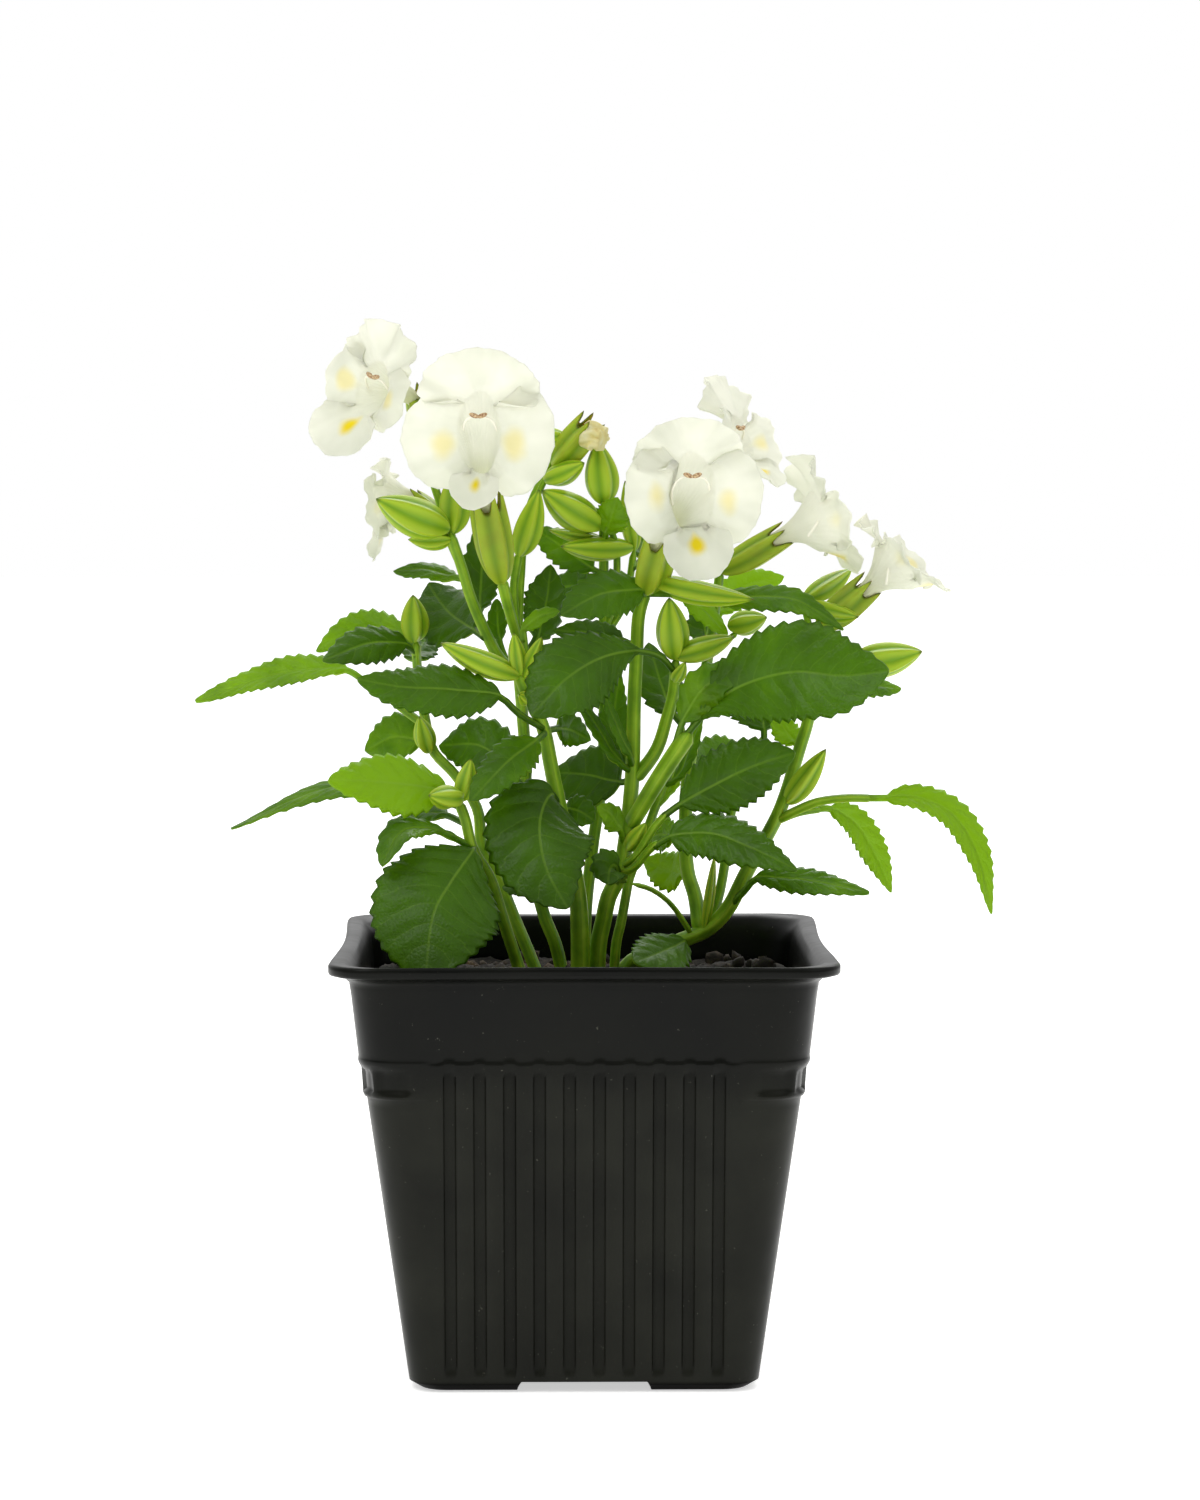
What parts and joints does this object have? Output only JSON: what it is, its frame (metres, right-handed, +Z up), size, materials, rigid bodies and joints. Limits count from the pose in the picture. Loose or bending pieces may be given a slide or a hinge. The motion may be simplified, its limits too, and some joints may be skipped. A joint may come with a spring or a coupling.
{
  "type": "potted wishbone flower",
  "caption": "Young wishbone flower with white two-lipped blooms and toothed leaves, in a square black nursery pot filled with soil.",
  "frame": {"origin": "middle of the pot's base, on the surface it stands on", "axes": "+Z up, -Y towards the front of the plant, +X to the right seen from the front"},
  "size_m": [0.164, 0.1, 0.2125],
  "materials": {
    "pot_plastic": "satin",
    "potting_soil": "matte",
    "foliage": "satin",
    "petals": "matte",
    "spent_petal": "matte"
  },
  "bodies": {
    "root": {"pot": "pot_plastic", "soil": "potting_soil", "stem_left_front": "foliage", "stem_left_back": "foliage", "stem_mid_left": "foliage", "stem_centre": "foliage", "stem_right_front": "foliage", "stem_right_thin": "foliage", "stem_centre_back": "foliage", "stem_right": "foliage", "bloom_far_left": "petals", "bloom_left": "petals", "bloom_left_behind": "petals", "bloom_right_behind": "petals", "bloom_right": "petals", "bloom_far_right_tube": "petals", "bloom_far_right": "petals", "withered_corolla": "spent_petal"}
  },
  "joints": []
}
